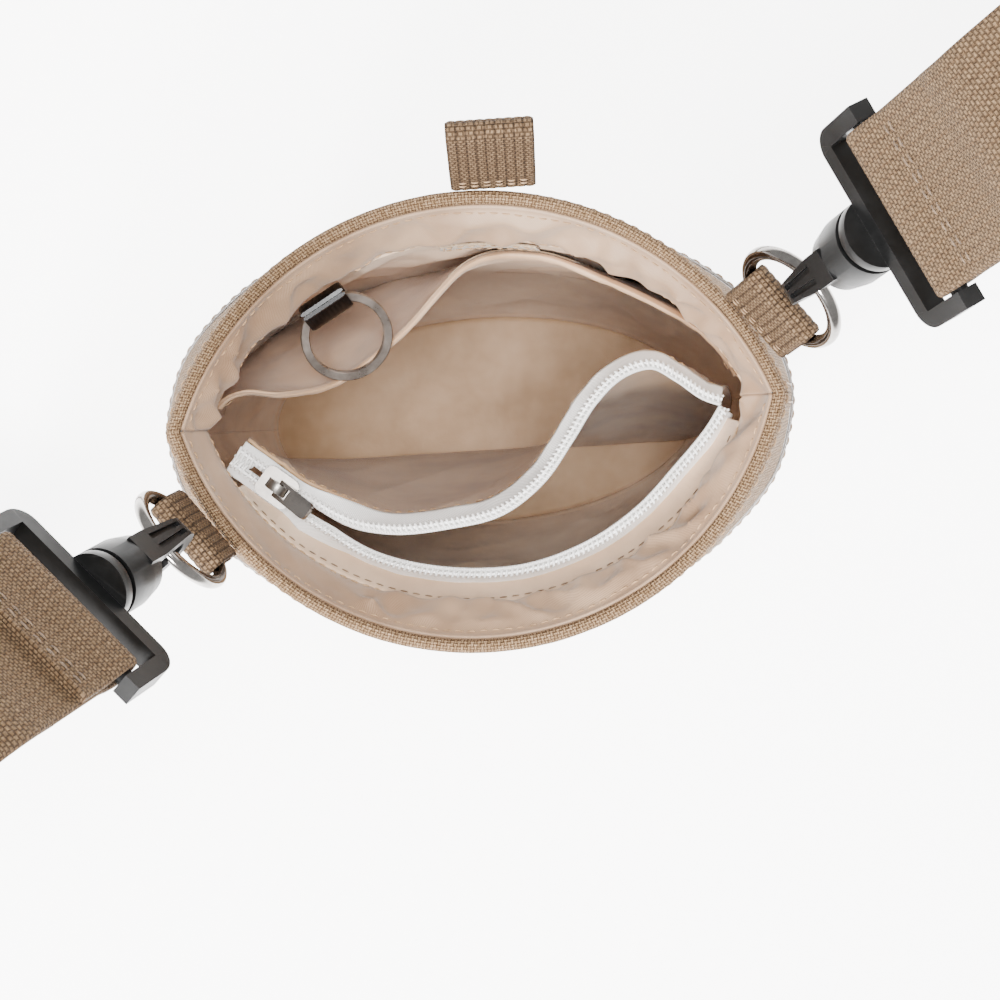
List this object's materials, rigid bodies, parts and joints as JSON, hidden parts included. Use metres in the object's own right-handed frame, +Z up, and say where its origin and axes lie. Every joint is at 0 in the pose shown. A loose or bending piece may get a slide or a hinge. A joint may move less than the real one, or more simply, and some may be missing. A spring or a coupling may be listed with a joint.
{
  "type": "treat pouch",
  "caption": "Soft open-topped training pouch with a lens-shaped sprung mouth, zip and slip pockets, key ring and a wide shoulder strap on swivel snap hooks.",
  "frame": {"origin": "centre of the base, on the floor it stands on", "axes": "+Z up, +X to the right corner of the mouth, +Y to the back with the webbing loop; the zip pocket is at the front"},
  "size_m": [0.366, 0.3145, 0.2812],
  "materials": {
    "canvas": "coarse woven polyester canvas, sand",
    "rim_binding": "the canvas rolled over the edge and stitched",
    "reflective": "grey retroreflective tape, satin",
    "lining": "thin smooth taffeta, slight sheen",
    "divider_lining": "thin smooth taffeta, slight sheen",
    "touch_tape": "nylon touch-and-close tape",
    "zip_white": "white polyester tape and nylon coil",
    "zip_metal": "dark nickel plated zinc, polished",
    "spring_steel": "spring steel",
    "ring_steel": "nickel plated steel",
    "black_webbing": "black woven tape",
    "narrow_webbing": "ribbed nylon webbing",
    "strap_webbing": "wide ribbed nylon webbing",
    "black_metal": "black plated zinc, semi-gloss"
  },
  "bodies": {
    "pouch": {"outer_front_panel": "canvas", "outer_back_panel": "canvas", "base_panel": "canvas", "reflective_band": "reflective", "rim_front": "rim_binding", "rim_back": "rim_binding", "channel_band_front": "lining", "channel_band_back": "lining", "spring_strip_front": "spring_steel", "spring_strip_back": "spring_steel", "spring_pins": "spring_steel", "lining_front": "lining", "lining_back": "lining", "lining_floor": "lining", "zip_pocket_panel": "divider_lining", "zip_tape_front": "zip_white", "zip_tape_back": "zip_white", "zip_coil_front": "zip_white", "zip_coil_back": "zip_white", "slip_pocket_panel": "lining", "grip_strip_wall": "touch_tape", "grip_strip_pocket": "touch_tape", "key_band": "black_webbing", "back_loop": "narrow_webbing", "strap_left_length": "strap_webbing", "strap_right_length": "strap_webbing"},
    "zip_slider": {"zip_slider": "zip_metal"},
    "zip_pull": {"zip_pull": "zip_metal"},
    "key_ring": {"key_ring": "ring_steel"},
    "strap_adjuster": {"strap_adjuster": "black_metal"},
    "left_carrier": {"left_tab": "narrow_webbing", "left_swivel_base": "black_metal", "left_strap_end": "strap_webbing"},
    "left_ring": {"left_ring": "black_metal"},
    "left_hook": {"left_hook": "black_metal", "left_gate_pin": "spring_steel", "left_gate_spring": "spring_steel"},
    "left_gate": {"left_gate": "black_metal"},
    "right_carrier": {"right_tab": "narrow_webbing", "right_swivel_base": "black_metal", "right_strap_end": "strap_webbing"},
    "right_ring": {"right_ring": "black_metal"},
    "right_hook": {"right_hook": "black_metal", "right_gate_pin": "spring_steel", "right_gate_spring": "spring_steel"},
    "right_gate": {"right_gate": "black_metal"}
  },
  "joints": [
    {"name": "zip_slide", "type": "slide", "parent": "pouch", "child": "zip_slider", "axis": [-0.7733, 0.634, 0], "range_m": [0, 0.008]},
    {"name": "zip_pull_swing", "type": "hinge", "parent": "zip_slider", "child": "zip_pull", "pos_m": [-0.04944, -0.01539, 0.1502], "axis": [-0.634, -0.7733, 0], "range_deg": [-22, 120]},
    {"name": "key_ring_swing", "type": "hinge", "parent": "pouch", "child": "key_ring", "pos_m": [-0.03574, 0.02858, 0.1409], "axis": [-0.8662, -0.4996, 0], "range_deg": [0, 75]},
    {"name": "left_tab_swing", "type": "hinge", "parent": "pouch", "child": "left_carrier", "pos_m": [-0.06573, -0.02268, 0.1634], "axis": [-0.6018, 0.7986, 0], "range_deg": [-80, 10]},
    {"name": "left_ring_turn", "type": "hinge", "parent": "left_carrier", "child": "left_ring", "pos_m": [-0.06841, -0.0247, 0.18246], "axis": [0.7865, 0.5927, 0.1736], "continuous": true},
    {"name": "left_hook_swivel", "type": "hinge", "parent": "left_carrier", "child": "left_hook", "pos_m": [-0.07013, -0.026, 0.19467], "axis": [-0.3486, -0.2095, 0.9135], "range_deg": [-30, 17]},
    {"name": "left_gate_open", "type": "hinge", "parent": "left_hook", "child": "left_gate", "pos_m": [-0.07992, -0.03324, 0.20843], "axis": [0.6666, -0.7406, 0.0846], "range_deg": [0, 20], "stiffness_Nm_per_rad": 0.02, "springref_deg": -11.46, "deforming": ["left_gate_spring"]},
    {"name": "right_tab_swing", "type": "hinge", "parent": "pouch", "child": "right_carrier", "pos_m": [0.0675, 0.0166, 0.1634], "axis": [0.6157, -0.788, 0], "range_deg": [-68, 20]},
    {"name": "right_ring_turn", "type": "hinge", "parent": "right_carrier", "child": "right_ring", "pos_m": [0.07321, 0.02106, 0.18134], "axis": [-0.7306, -0.5708, 0.3746], "continuous": true},
    {"name": "right_hook_swivel", "type": "hinge", "parent": "right_carrier", "child": "right_hook", "pos_m": [0.07687, 0.02392, 0.19284], "axis": [0.3248, 0.2448, 0.9135], "range_deg": [-17, 30]},
    {"name": "right_gate_open", "type": "hinge", "parent": "right_hook", "child": "right_gate", "pos_m": [0.08725, 0.03029, 0.2066], "axis": [-0.437, 0.8955, -0.0846], "range_deg": [0, 20], "stiffness_Nm_per_rad": 0.02, "springref_deg": -11.46, "deforming": ["right_gate_spring"]},
    {"name": "strap_adjust", "type": "slide", "parent": "pouch", "child": "strap_adjuster", "axis": [1, 0, 0], "range_m": [-0.02, 0.02]}
  ]
}
